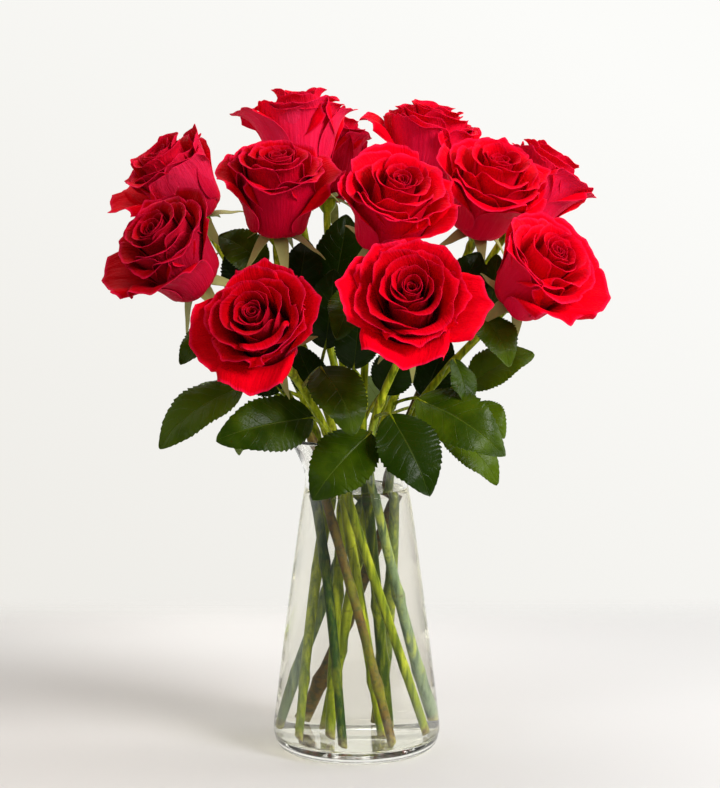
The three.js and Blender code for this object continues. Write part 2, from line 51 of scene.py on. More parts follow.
# a wire is one socket, and sums on wires add Math nodes
class Wire:
    def __init__(self, nodes, socket):
        self.nodes = nodes
        self.socket = socket

    def out(self, name):  # another output of the same node
        return Wire(self.nodes, self.socket.node.outputs[name])

    def maths(self, operation, a, b=None):
        return self.nodes.add("ShaderNodeMath", {"operation": operation}, {0: a, 1: b})

    def __add__(self, other):
        return self.maths("ADD", self, other)

    def __radd__(self, other):
        return self.maths("ADD", other, self)

    def __sub__(self, other):
        return self.maths("SUBTRACT", self, other)

    def __rsub__(self, other):
        return self.maths("SUBTRACT", other, self)

    def __mul__(self, other):
        return self.maths("MULTIPLY", self, other)

    def __rmul__(self, other):
        return self.maths("MULTIPLY", other, self)

    def __abs__(self):
        return self.maths("ABSOLUTE", self)

    def sine(self):
        return self.maths("SINE", self)

    def larger(self, other):
        return self.maths("MAXIMUM", self, other)

    def ramp(self, low, high):  # 0 below low, 1 above high, smooth between
        return self.nodes.add(
            "ShaderNodeMapRange",
            {"interpolation_type": "SMOOTHSTEP"},
            {"Value": self, "From Min": low, "From Max": high, "To Min": 0.0, "To Max": 1.0},
        )


class Nodes:  # the nodes of a material or of the world
    def __init__(self, owner):
        owner.use_nodes = True
        self.owner = owner
        self.tree = owner.node_tree
        self.tree.nodes.clear()

    def add(self, kind, settings=None, sockets=None, out=0):
        node = self.tree.nodes.new(kind)
        for key, value in (settings or {}).items():
            setattr(node, key, value)
        for key, value in (sockets or {}).items():
            if isinstance(value, Wire):
                self.tree.links.new(value.socket, node.inputs[key])
            elif value is not None:
                node.inputs[key].default_value = value
        return Wire(self, node.outputs[out])

    def attribute(self, name):
        return self.add("ShaderNodeAttribute", {"attribute_name": name}, out="Fac")

    def place(self):
        return self.add("ShaderNodeTexCoord", out="Object")

    def across(self):  # the piece's own map: x runs across a blade, y along it
        flat = self.add("ShaderNodeUVMap", {"uv_map": "UVMap"})
        return self.add("ShaderNodeSeparateXYZ", {}, {0: flat}, "X")

    def vector(self, x, y, z=0.0):
        return self.add("ShaderNodeCombineXYZ", {}, {0: x, 1: y, 2: z})

    def noise(self, where, scale, detail=3.0):
        return self.add("ShaderNodeTexNoise", {}, {"Vector": where, "Scale": scale, "Detail": detail})

    def mix(self, share, first, second):
        return self.add("ShaderNodeMix", {"data_type": "RGBA"}, {0: share, 6: first, 7: second}, 2)

    def bump(self, height, strength, distance):
        sockets = {"Height": height, "Strength": strength, "Distance": distance}
        return self.add("ShaderNodeBump", {}, sockets)

    def principled(self, sockets):
        return self.add("ShaderNodeBsdfPrincipled", {}, sockets)

    def close(self, shader, kind="ShaderNodeOutputMaterial"):
        end = self.tree.nodes.new(kind)
        self.tree.links.new(shader.socket, end.inputs["Surface"])
        return self.owner

    def surface(self, sockets):
        return self.close(self.principled(sockets))


def newMaterial(name):
    return Nodes(bpy.data.materials.new(name))


# camera
cameraView = {"place": (2.2, -1600, 440), "down": 7.43, "lens": 115.1}


def makeCamera():
    v = cameraView
    bpy.ops.object.camera_add(
        location=[c * mm for c in v["place"]], rotation=(math.radians(90 - v["down"]), 0, 0)
    )
    camera = bpy.context.object
    camera.name = "photoCamera"
    camera.data.lens = v["lens"]
    camera.data.sensor_width = 36
    camera.data.clip_start = 0.01
    scene.camera = camera


# lamps, each a disc turned towards a point on the bouquet
lamps = [
    {"name": "keyLight", "at": (1150, -1000, 1150), "to": (0, 0, 280), "size": 700, "watts": 34},
    {"name": "windowLight", "at": (1400, 300, 850), "to": (0, 0, 250), "size": 900, "watts": 8},
    {"name": "fillLight", "at": (-1300, -1300, 900), "to": (0, 0, 300), "size": 900, "watts": 4},
    {"name": "topLight", "at": (-250, 500, 1600), "to": (0, 0, 330), "size": 900, "watts": 8},
]


def makeLamps():
    for lamp in lamps:
        at, to = Vector(lamp["at"]) * mm, Vector(lamp["to"]) * mm
        bpy.ops.object.light_add(type="AREA", location=at)
        light = bpy.context.object
        light.name = lamp["name"]
        light.rotation_euler = (to - at).to_track_quat("-Z", "Y").to_euler()
        light.data.shape = "DISK"
        light.data.size = lamp["size"] * mm
        light.data.energy = lamp["watts"]


# the pale backdrop and the dim room in front of it are the world's light
studio = {
    "backdrop": (0.93, 0.925, 0.895),
    "backdropDark": (0.842, 0.824, 0.780),
    "backdropBright": (0.974, 0.973, 0.950),
    "level": 0.834,  # how bright it is straight ahead, from backdropDark at 0 to backdropBright at 1
    "toRight": 1.67,  # how fast it brightens to the right, and upwards
    "toTop": 2.4,
    "turnsDim": (-0.5, 0.35),  # a direction's y, from the dim room to the full backdrop
    "fill": (1.0, 0.975, 0.93),
    "fillStrength": 0.37,
    "room": (0.11, 0.11, 0.11),  # what polished surfaces see of the room in front
    "frontThroughGlass": 0.26,
}


def makeWorld():
    s = studio
    w = Nodes(bpy.data.worlds.new("studioWorld"))
    scene.world = w.owner

    def lit(colour, strength=1.0):
        return w.add("ShaderNodeBackground", {}, {"Color": (*colour, 1), "Strength": strength})

    def mixed(share, first, second):
        return w.add("ShaderNodeMixShader", {}, {0: share, 1: first, 2: second})

    # in the world this output is the direction looked in
    x = w.add("ShaderNodeSeparateXYZ", {}, {0: w.add("ShaderNodeTexCoord", out="Generated")}, "X")
    ray = w.add("ShaderNodeLightPath", out="Is Camera Ray")
    behind = x.out("Y").ramp(*s["turnsDim"])
    mirrored = mixed(behind, lit(s["room"]), lit(s["backdrop"]))
    through = mixed(behind, lit(s["fill"], s["frontThroughGlass"]), lit(s["backdrop"]))
    level = x * s["toRight"] + s["level"] + x.out("Z") * s["toTop"]
    seen = mixed(level, lit(s["backdropDark"]), lit(s["backdropBright"]))
    light = mixed(ray.out("Is Glossy Ray"), lit(s["fill"], s["fillStrength"]), mirrored)
    light = mixed(ray.out("Is Transmission Ray"), light, through)
    w.close(mixed(ray, light, seen), "ShaderNodeOutputWorld")


makeCamera()
makeLamps()
makeWorld()
print("camera, lamps and world set")


# finishes, which read these attributes of the blades
# back: 1 on undersides. tint: a number for each petal or leaf. layer: 0 in a bloom's heart to 1 outside it
# each bloom's painted light, darker or brighter, and its blush come from its row in the bloom table after
# the petal rings. rust, cool: from stemLooks. knot, cut: 1 at a knot and at the cut foot
def petalFinish():
    c = {
        "face": (0.54, 0.0, 0.003, 1),
        "bright": (0.88, 0.0, 0.010, 1),
        "darkAndPaintedShade": (0.20, 0.0, 0.001, 1),
        "back": (0.46, 0.0, 0.016, 1),
        "backLit": (0.80, 0.0, 0.030, 1),
        "pink": (0.94, 0.030, 0.115, 1),
        "rim": (0.86, 0.012, 0.075, 1),
    }
    f = newMaterial("rosePetal")
    x = f.across()
    y = x.out("Y")
    back, tint, layer = f.attribute("back"), f.attribute("tint"), f.attribute("layer")
    paintedLight, blush = f.attribute("paintedLight"), f.attribute("blush")
    cloud = f.noise(f.place(), 45.0)
    grain = f.noise(f.place(), 900.0, 2.0)
    vein = f.noise(f.vector(x * 60.0, y * 3.0, tint * 40.0), 1.0, 2.0)
    ribs = f.noise(f.vector(x * 15.0, y * 1.1, tint * 23.0), 1.0, 2.0)
    crinkle = f.noise(f.vector(x * 16.0, y * 9.0, tint * 31.0), 1.0) * y.ramp(0.45, 1.0)
    # painted light: the face is painted from face to bright red, lighter on the outer petals and on the
    # blooms painted brighter; cloud and tint add a random tone, and the backs do the same from back to
    # backLit
    lit = (cloud * 0.8 + tint * 0.35 + layer * 0.3 + paintedLight * 0.5).ramp(0.45, 1.15)
    face = f.mix(lit, c["face"], c["bright"])
    # painted shade: the face is painted darker towards the root, down in the cup
    face = f.mix((1 - y.ramp(0.08, 0.7)) * 0.75, face, c["darkAndPaintedShade"])  # darker towards the root
    face = f.mix((ribs * 0.5 + vein * 0.5).ramp(0.52, 0.75) * 0.22, face, c["darkAndPaintedShade"])
    streak = (vein * 0.4 + ribs * 0.4 + cloud * 0.35).ramp(0.42, 0.78)
    under = f.mix(lit, c["back"], c["backLit"])
    under = f.mix((0.45 + streak * 0.55) * y.ramp(0.05, 0.6) * blush, under, c["pink"])
    # painted shade: the back is painted darker near the root
    under = f.mix((1 - y.ramp(0.0, 0.25)) * 0.4, under, c["darkAndPaintedShade"])
    # the heart is red on both sides. Painted shade: the heart is painted darker, and so are the blooms
    # painted darker than the rest
    skin = f.mix(back * (0.45 + layer.ramp(0.5, 0.9) * 0.55), face, under)
    skin = f.mix((1 - layer.ramp(0.0, 0.7)) * 0.42, skin, c["darkAndPaintedShade"])
    skin = f.mix((0.0 - paintedLight).larger(0.0) * 0.45, skin, c["darkAndPaintedShade"])
    # painted highlight: a thin pinker line along each petal's rim and sides, stronger on the outer petals
    rimHighlight = y.ramp(0.955, 1.0).larger((abs(x - 0.5) * 2.0).ramp(0.955, 1.0))
    skin = f.mix(rimHighlight * (0.2 + layer.ramp(0.2, 0.8) * 0.4), skin, c["rim"])
    height = vein * 0.8 + ribs * 1.4 + grain * 0.3 + cloud * 0.8 + crinkle * 1.5
    return f.surface(
        {
            "Base Color": skin,
            "Roughness": 0.6 + (grain - 0.5) * 0.2,
            "IOR": 1.3,
            "Specular IOR Level": 0.1,
            "Specular Tint": (1.0, 0.1, 0.3, 1),
            "Sheen Weight": 0.03,
            "Sheen Roughness": 0.35,
            "Sheen Tint": (1.0, 0.08, 0.3, 1),
            "Subsurface Weight": 0.12,
            "Subsurface Radius": (1.0, 0.05, 0.08),
            "Subsurface Scale": 0.002,
            "Normal": f.bump(height, 0.6, 0.0010),
        }
    )


def leafFinish():
    c = {
        "face": (0.014, 0.034, 0.0, 1),
        "light": (0.062, 0.104, 0.002, 1),
        "darkAndPaintedShade": (0.003, 0.009, 0.0, 1),
        "vein": (0.11, 0.16, 0.015, 1),
        "under": (0.14, 0.20, 0.045, 1),
    }
    f = newMaterial("roseLeaf")
    x = f.across()
    y = x.out("Y")
    back, tint = f.attribute("back"), f.attribute("tint")
    cloud = f.noise(f.place(), 60.0)
    out = abs(x - 0.5) * 2.0  # 0 on the midrib, 1 at the edges
    rib = 1 - out.ramp(0.0, 0.04)
    branch = abs(((y * 7.5 - out * 1.7 + cloud * 0.5 + tint * 3.0) * math.pi).sine())
    branch = (1 - branch.ramp(0.0, 0.16)) * (1 - out.ramp(0.6, 0.95))
    lines = rib.larger(branch * 0.6)
    face = f.mix((cloud * 0.9 + tint * 0.35).ramp(0.35, 1.0), c["face"], c["light"])
    face = f.mix(rib * 0.26 + lines * 0.15, face, c["vein"])
    under = f.mix(lines * 0.5, c["under"], c["vein"])
    skin = f.mix(back, face, under)
    # painted shade: leaves deep inside the bouquet are painted darker
    skin = f.mix((0.0 - tint).larger(0.0), skin, c["darkAndPaintedShade"])  # leaves deep inside the bouquet
    fine = f.noise(f.vector(x * 26.0, y * 40.0, tint * 9.0), 1.0)
    height = fine * 0.5 + cloud * 0.9 - lines * 0.6 - rib * 0.4
    return f.surface(
        {
            "Base Color": skin,
            "Roughness": 0.3 + back * 0.25 + (cloud - 0.5) * 0.14,
            "IOR": 1.35,
            "Specular IOR Level": 0.17,
            "Normal": f.bump(height, 0.55, 0.0007),
        }
    )


def stemFinish():
    c = {
        "green": (0.215, 0.27, 0.004, 1),
        "dark": (0.014, 0.047, 0.001, 1),
        "pale": (0.60, 0.64, 0.035, 1),
        "cool": (0.17, 0.24, 0.13, 1),
        "brown": (0.15, 0.075, 0.022, 1),
        "bark": (0.075, 0.050, 0.028, 1),
        "cut": (0.52, 0.50, 0.16, 1),
    }
    f = newMaterial("roseStem")
    tint, rust, cool = f.attribute("tint"), f.attribute("rust"), f.attribute("cool")
    knot, cut = f.attribute("knot"), f.attribute("cut")
    spot = f.noise(f.place(), 38.0, 4.0)
    fleck = f.noise(f.place(), 320.0)
    drawn = f.add("ShaderNodeMapping", {}, {"Vector": f.place(), "Scale": (420.0, 420.0, 26.0)})
    streak = f.noise(drawn, 1.0, 2.0)
    skin = f.mix((tint * 1.3 + (spot - 0.5) * 0.9).ramp(0.15, 1.0), c["green"], c["dark"])
    skin = f.mix(cool, skin, c["cool"])
    skin = f.mix((1 - streak).ramp(0.5, 0.68) * 0.55, skin, c["dark"])
    skin = f.mix((spot * 0.5 + streak * 0.6).ramp(0.5, 0.74) * (0.75 - tint * 0.5), skin, c["pale"])
    woody = (rust * 1.25 + (spot - 0.5) * 1.1).ramp(0.3, 0.85)
    skin = f.mix(woody * 0.9, skin, f.mix(fleck.ramp(0.4, 0.62), c["brown"], c["bark"]))
    skin = f.mix((knot + (fleck - 0.5)).ramp(0.45, 1.0) * 0.75, skin, c["brown"])
    skin = f.mix((fleck * 0.7 + streak * 0.3).ramp(0.56, 0.68) * 0.45, skin, c["dark"])
    skin = f.mix(cut, skin, f.mix(fleck.ramp(0.3, 0.7), c["cut"], c["brown"]))
    height = streak * 0.8 + spot * 0.6 + fleck * (0.3 + rust)
    return f.surface(
        {
            "Base Color": skin,
            "Roughness": 0.4 + (streak - 0.5) * 0.2,
            "IOR": 1.35,
            "Specular IOR Level": 0.14,
            "Normal": f.bump(height, 0.5, 0.0006),
        }
    )


def sepalFinish():
    c = {
        "green": (0.30, 0.30, 0.08, 1),
        "dark": (0.13, 0.15, 0.02, 1),
        "inside": (0.36, 0.36, 0.12, 1),
    }
    f = newMaterial("roseSepal")
    x = f.across()
    y = x.out("Y")
    cloud = f.noise(f.place(), 130.0)
    line = f.noise(f.vector(x * 9.0, y * 2.0, f.attribute("tint") * 9.0), 1.0, 2.0)
    skin = f.mix(cloud.ramp(0.3, 0.75), c["green"], c["dark"])
    skin = f.mix((1 - f.attribute("back")) * 0.8, skin, c["inside"])
    return f.surface(
        {
            "Base Color": skin,
            "Roughness": 0.55,
            "Specular IOR Level": 0.2,
            "Normal": f.bump(line + cloud * 0.4, 0.4, 0.0004),
        }
    )


def clearFinish(name, ior, body, shadow):
    f = newMaterial(name)
    wave = f.noise(f.place(), 9.0, 1.0)
    glassy = f.principled(
        {
            "Base Color": body,
            "Roughness": 0.0,
            "IOR": ior,
            "Specular IOR Level": 0.3,
            "Transmission Weight": 1.0,
            "Normal": f.bump(wave, 0.06, 0.001),
        }
    )
    # the lamps' rays pass straight through, so the shadow behind stays clear
    passing = f.add("ShaderNodeBsdfTransparent", {}, {"Color": shadow})
    lampRay = f.add("ShaderNodeLightPath", out="Is Shadow Ray")
    return f.close(f.add("ShaderNodeMixShader", {}, {0: lampRay, 1: glassy, 2: passing}))


petalLook = petalFinish()
leafLook = leafFinish()
stemLook = stemFinish()
sepalLook = sepalFinish()
glassLook = clearFinish("clearGlass", ior=1.46, body=(0.956, 0.953, 0.925, 1), shadow=(0.8, 0.795, 0.765, 1))
waterLook = clearFinish("stillWater", ior=1.33, body=(0.985, 0.985, 0.955, 1), shadow=(0.86, 0.855, 0.82, 1))
print("finishes made")


def clearSelection():
    if bpy.context.object and bpy.context.object.mode != "OBJECT":
        bpy.ops.object.mode_set(mode="OBJECT")
    bpy.ops.object.select_all(action="DESELECT")


def finishPiece(piece, look, node):
    piece.data.materials.clear()
    piece.data.materials.append(look)
    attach(piece, "root")
    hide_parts(node)


# floor
ground = {
    # painted light and shade: the floor is painted darker at the left front, as a painted shadow of the
    # bouquet, darker on the right against the strong lamp light there, and lighter at the left back
    "left": (0.665, 0.637, 0.608, 1),
    "leftBack": (0.86, 0.84, 0.815, 1),
    "right": (0.665, 0.66, 0.652, 1),
    "leftToRight": (-250, 300),  # where the left's colour passes into the right's
    "frontToBack": (120, 320),
    "cloud": (0.3, 0.28, 0.26, 1),
    "cloudy": 0.03,
    "half": 480,
    "fade": (350, 470),  # it fades out just before its edge
    "below": 0.2,
}


def floorFinish():
    g = ground
    f = newMaterial("paleFloor")
    x = f.add("ShaderNodeSeparateXYZ", {}, {0: f.place()}, "X")
    y = x.out("Y")
    reach = abs(x).larger(abs(y))
    sideways, depth, fade = ([v * mm for v in g[key]] for key in ("leftToRight", "frontToBack", "fade"))
    cloud = f.noise(f.place(), 3.0, 4.0)
    # painted light and shade: the colour runs from left to right and, on the left, from front to back
    paintedLight = f.mix(x.ramp(*sideways), f.mix(y.ramp(*depth), g["left"], g["leftBack"]), g["right"])
    paintedLight = f.mix(cloud.ramp(0.3, 0.7) * g["cloudy"], paintedLight, g["cloud"])
    return f.surface(
        {
            "Base Color": paintedLight,
            "Roughness": 0.7,
            "Specular IOR Level": 0.2,
            "Alpha": 1 - reach.ramp(*fade),
        }
    )


def makeFloor():
    clearSelection()
    bpy.ops.mesh.primitive_plane_add(size=2 * ground["half"] * mm, location=(0, 0, -ground["below"] * mm))
    floor = bpy.context.object
    floor.name = "floor"
    bpy.ops.object.transform_apply(location=True, rotation=True, scale=True)
    floor.data.materials.append(floorFinish())


makeFloor()


# vase and water, with their outlines as (radius, height)
vase = {
    "height": 205, "foot": 44, "widest": 54, "widestAt": 15, "neck": 33.2, "neckAt": 178, "lip": 45,
    "taper": [(52.3, 30), (48.7, 60), (43.0, 105), (36.6, 152)],
    "taperInside": [(33.5, 152), (39.9, 105), (45.5, 60), (48.9, 32)],
    "heelInside": [(50.2, 18), (49.4, 12.5), (46.2, 9.2), (40.5, 8)],
    "floor": 8, "middle": 20, "sides": 128, "steps": 5,
}
# sink: how far the water's sides reach into the glass, so that no gap shows between them
water = {"level": 171, "sink": 0.25, "meniscus": 0.36}


def smoothStep(low, high, x):
    t = np.clip((x - low) / (high - low), 0, 1)
    return t * t * (3 - 2 * t)


def spline(stations, steps):  # a smooth line through (radius, height) stations
    p = np.array([stations[0], *stations, stations[-1]], dtype=float)
    line = [p[1]]
    for i in range(1, len(p) - 2):
        a, b, c, d = p[i - 1], p[i], p[i + 1], p[i + 2]
        for k in range(1, steps + 1):
            t = k / steps
            bend = (2 * a - 5 * b + 4 * c - d) * t**2
            twist = (3 * b - a - 3 * c + d) * t**3
            line.append(0.5 * (2 * b + (c - a) * t + bend + twist))
    return [tuple(q) for q in line]


def vaseOutside():
    v = vase
    foot, wide, neck, neckAt = v["foot"], v["widest"], v["neck"], v["neckAt"]
    heel = [(foot, 0), (foot + 4.2, 1.0), (foot + 7.6, 4.0), (wide - 0.6, 9.0), (wide, v["widestAt"])]
    throat = [(neck + 0.2, neckAt - 6), (neck + 0.3, neckAt + 2), (neck + 2.4, neckAt + 9)]
    lip = [(neck + 6.6, neckAt + 18), (v["lip"], v["height"] - 1.2)]
    return spline([*heel, *v["taper"], *throat, *lip], v["steps"])


def vaseInside():
    v = vase
    neck, neckAt = v["neck"], v["neckAt"]
    lip = [(v["lip"] - 2.4, v["height"] - 1.0), (neck + 3.8, neckAt + 18)]
    throat = [(neck - 0.6, neckAt + 9), (neck - 2.8, neckAt + 1), (neck - 2.6, neckAt - 8)]
    return spline([*lip, *throat, *v["taperInside"], *v["heelInside"]], v["steps"])


def turnedPiece(name, rings, sides):
    # a disc is added at the first ring, then extruded and resized ring by ring; the last ring closes it
    clearSelection()
    radius, height = rings[0]
    bpy.ops.mesh.primitive_circle_add(
        vertices=sides, radius=radius * mm, fill_type="NGON", location=(0, 0, height * mm)
    )
    piece = bpy.context.object
    piece.name = name
    bpy.ops.object.transform_apply(location=True, rotation=True, scale=True)
    bpy.ops.object.mode_set(mode="EDIT")
    bpy.ops.mesh.select_all(action="SELECT")
    for nextRadius, nextHeight in rings[1:]:
        bpy.ops.mesh.extrude_region_move(
            TRANSFORM_OT_translate={"value": (0, 0, (nextHeight - height) * mm)}
        )
        grow = nextRadius / radius
        bpy.ops.transform.resize(value=(grow, grow, 1), center_override=(0, 0, nextHeight * mm))
        radius, height = nextRadius, nextHeight
    bpy.ops.mesh.select_all(action="SELECT")
    bpy.ops.mesh.remove_doubles(threshold=0.01 * mm)
    bpy.ops.mesh.normals_make_consistent(inside=False)
    bpy.ops.object.mode_set(mode="OBJECT")
    bpy.ops.object.shade_smooth()
    return piece


def makeVase():
    v = vase
    lip, top, middle = v["lip"], v["height"], (v["middle"], v["floor"])
    rim = [(lip - 0.2, top - 0.4), (lip - 0.8, top), (lip - 1.6, top - 0.1)]
    rings = [(v["foot"] * 0.5, 0.0), *vaseOutside(), *rim, *vaseInside(), middle]
    finishPiece(turnedPiece("clearVase", rings, v["sides"]), glassLook, "vase")


def makeWater():
    level, sink = water["level"], water["sink"]
    sides = [(r + sink, z - sink) for r, z in reversed(vaseInside()) if z < level - 3]
    edge = sides[-1][0] - 0.2  # the water climbs the glass a little
    top = [(edge, level + water["meniscus"]), (edge - 0.9, level + 0.25), (edge - 2.2, level + 0.05)]
    rings = [(vase["middle"], vase["floor"] - sink), *sides, *top, (vase["middle"], level)]
    finishPiece(turnedPiece("stillWater", rings, vase["sides"]), waterLook, "water")


makeVase()
makeWater()
print("vase and water made")


# where each rose stands, in millimetres and degrees
# base: where the petals leave the stem. axis: the way the bloom faces. neck, foot: the stem's place in the
# neck and on the floor of the vase. open: how far its inner petals have opened. size: its scale
# guards: the outer petals, each (turn, length, half width, flare, curl)
roses = [
    {"name": "rose_01", "base": (-37, 50, 369), "axis": (0.0, 0.05, 1), "size": 1.12,
     "neck": (-5, 8), "foot": (-14, -14), "seed": 11, "open": 0.35,
     "guards": [(186, 60, 27, 36, 95), (130, 58, 24, 34, 80), (5, 56, 22, 20, 80),
                (70, 56, 24, 24, 70), (262, 56, 31, 6, 80)]},
    {"name": "rose_02", "base": (-103, 56, 341), "axis": (-0.5, -0.22, 0.84), "size": 1.12,
     "neck": (-21, 8), "foot": (-8, -38), "seed": 22, "open": 0.3,
     "guards": [(200, 60, 27, 50, 90), (140, 56, 24, 40, 95), (20, 60, 26, 8, 20),
                (80, 54, 24, 34, 80), (285, 55, 25, 24, 50)]},
    {"name": "rose_03", "base": (-100, -17, 305), "axis": (-0.5, -0.54, 0.68), "size": 1.14,
     "neck": (-20, -9), "foot": (21, -33), "seed": 33, "open": 0.35,
     "guards": [(190, 58, 27, 46, 85), (262, 58, 26, 42, 80), (330, 56, 27, 16, 45),
                (30, 58, 26, 22, 60), (108, 58, 26, 34, 60)]},
    {"name": "rose_04", "base": (-50, -19, 338), "axis": (0.03, -0.42, 0.91), "size": 1.12,
     "neck": (-8, -5), "foot": (14, -14), "seed": 44, "open": 0.3,
     "guards": [(176, 56, 24, 20, 105), (4, 56, 25, 26, 95), (85, 56, 25, 18, 60),
                (264, 54, 32, 5, 85), (130, 53, 23, 12, 50)]},
    {"name": "rose_05", "base": (-51, -64, 270), "axis": (-0.24, -0.82, 0.52), "size": 1.04,
     "neck": (-8, -21), "foot": (38, -8), "seed": 55, "open": 0.55,
     "guards": [(196, 58, 27, 52, 80), (262, 62, 27, 56, 90), (318, 55, 27, 22, 30),
                (12, 57, 25, 40, 85), (85, 57, 26, 38, 70)]},
    {"name": "rose_06", "base": (17, -30, 331), "axis": (0.2, -0.6, 0.77), "size": 1.14,
     "neck": (5, -8), "foot": (14, 14), "seed": 66, "open": 0.4,
     "guards": [(188, 56, 23, 30, 50), (100, 58, 24, 26, 50), (322, 56, 25, 36, 60),
                (262, 53, 31, 9, 65), (30, 54, 23, 26, 60)]},
    {"name": "rose_07", "base": (32, -72, 284), "axis": (0.02, -0.85, 0.53), "size": 1.1,
     "neck": (9, -21), "foot": (33, 21), "seed": 77, "open": 0.6,
     "guards": [(358, 61, 27, 54, 80), (262, 62, 29, 52, 70), (168, 59, 26, 46, 80),
                (84, 54, 26, 26, 50), (122, 55, 24, 34, 70)]},
    {"name": "rose_08", "base": (41, 62, 360), "axis": (0.22, -0.1, 0.97), "size": 1.12,
     "neck": (8, 21), "foot": (-38, 8), "seed": 88, "open": 0.35,
     "guards": [(184, 62, 20, 40, 110), (240, 56, 25, 12, 40), (0, 58, 22, 38, 80),
                (60, 56, 24, 26, 75), (120, 56, 24, 28, 75)]},
    {"name": "rose_09", "base": (78, 24, 337), "axis": (0.25, -0.5, 0.83), "size": 1.14,
     "neck": (8, 5), "foot": (-14, 14), "seed": 99, "open": 0.45,
     "guards": [(190, 60, 24, 28, 50), (254, 54.5, 31, 20, 100), (318, 50, 23, 30, 95),
                (80, 56, 24, 24, 60), (20, 56, 22, 24, 60)]},
    {"name": "rose_10", "base": (104, 62, 338), "axis": (0.55, 0.08, 0.83), "size": 1.08,
     "neck": (21, 9), "foot": (-21, 33), "seed": 110, "open": 0.3,
     "guards": [(0, 58, 26, 20, 60), (310, 57, 26, 18, 60), (60, 56, 26, 22, 70),
                (130, 54, 24, 18, 60), (230, 54, 24, 16, 50)]},
    {"name": "rose_11", "base": (99, -22, 294), "axis": (0.5, -0.58, 0.64), "size": 1.1,
     "neck": (21, -9), "foot": (8, 38), "seed": 121, "open": 0.45,
     "guards": [(350, 60, 28, 46, 70), (292, 56, 24, 46, 85), (208, 54, 27, 12, 40),
                (100, 55, 25, 32, 55), (45, 58, 26, 40, 75)]},
    {"name": "rose_12", "base": (-20, 100, 352), "axis": (0.0, 0.3, 0.95), "size": 1.04,
     "neck": (-8, 21), "foot": (-33, -21), "seed": 132, "open": 0.35,
     "guards": [(262, 60, 22, 8, 20), (330, 54, 24, 14, 60), (205, 58, 24, 16, 40),
                (50, 58, 26, 40, 85), (125, 58, 26, 46, 85)]},
]


def standing(rose):  # the bloom's own frame, x to its right and z along its axis, as a matrix in metres
    z = Vector(rose["axis"]).normalized()
    x = (Vector((1, 0, 0)) - z * z.x).normalized()
    y = z.cross(x)
    turn = Matrix((x, y, z)).transposed().to_4x4()
    return np.array(Matrix.Translation(Vector(rose["base"]) * mm) @ turn @ Matrix.Scale(mm, 4))


def seated(points, stand):  # points of a bloom's own frame, where they stand over the vase
    return points @ stand[:3, :3].T + stand[:3, 3]


# petals
petal = {"thick": 0.32, "columns": 28, "rows": 22}
# the petals inside the guards, from the heart outwards. cup: the radius they stand at. lean, flare, curl:
# how far they tip outwards low down, past the middle and at the rim, in degrees. edge: how the sides roll
petalRings = [
    {"count": 3, "cup": 2.2, "length": 44, "half": 7, "lean": 0, "flare": -2, "curl": 8, "edge": 0.2},
    {"count": 3, "cup": 4.4, "length": 46, "half": 11.5, "lean": 1, "flare": -4, "curl": 20, "edge": 0.3},
    {"count": 4, "cup": 7.2, "length": 48.5, "half": 15.5, "lean": 1, "flare": -4, "curl": 48, "edge": 0.5},
    {"count": 4, "cup": 10.6, "length": 51, "half": 19, "lean": 2, "flare": -2, "curl": 70, "edge": 0.8},
    {"count": 5, "cup": 14.6, "length": 53.5, "half": 21.5, "lean": 4, "flare": 2, "curl": 84, "edge": 1.1},
    {"count": 5, "cup": 18.8, "length": 55.5, "half": 23, "lean": 6, "flare": 8, "curl": 94, "edge": 1.4},
]
# what the guards share; each stands further out and lower than the one before
guard = {"cup": 22.4, "out": 1.5, "rise": 4.4, "down": 0.8, "lean": 10, "wider": 1.06}
# each bloom's painted light, below 0 painted darker and above 0 painted brighter for how light falls on it,
# and how pink the backs of its petals are
roseShades = {
    "rose_01": (0.25, 0.95), "rose_02": (-0.1, 0.7), "rose_03": (-0.65, 0.5), "rose_04": (-0.3, 0.15),
    "rose_05": (-0.05, 0.6), "rose_06": (0.55, 0.2), "rose_07": (0.4, 0.4), "rose_08": (0.4, 0.4),
    "rose_09": (1.3, 0.15), "rose_10": (0.6, 0.45), "rose_11": (1.3, 0.3), "rose_12": (-0.1, 0.3),
}


def petalLine(p, steps=48, halvings=22):
    # the petal's middle line from root to rim: its radius, its height and its tilt outwards
    s = (np.arange(1, steps + 1) - 0.5) / steps
    stride = p["length"] / steps

    def walk(root):
        angle = root + (p["lean"] - root) * smoothStep(0, 0.34, s)
        angle = angle + (p["flare"] - p["lean"]) * smoothStep(0.34, 0.76, s)
        angle = angle + (p["curl"] - p["flare"]) * smoothStep(p["curlFrom"], 1, s)
        r = np.concatenate([[p["root"]], p["root"] + np.cumsum(stride * np.sin(np.radians(angle)))])
        z = np.concatenate([[p["rise"]], p["rise"] + np.cumsum(stride * np.cos(np.radians(angle)))])
        return r, z, np.concatenate([[root], angle])

    # the tilt at the root is halved in on until the middle stands at the radius of the cup
    low, high = -30.0, 130.0
    for _ in range(halvings):
        tilt = (low + high) / 2
        if walk(tilt)[0][round(steps * 0.55)] < p["cup"]:
            low = tilt
        else:
            high = tilt
    return walk(low)


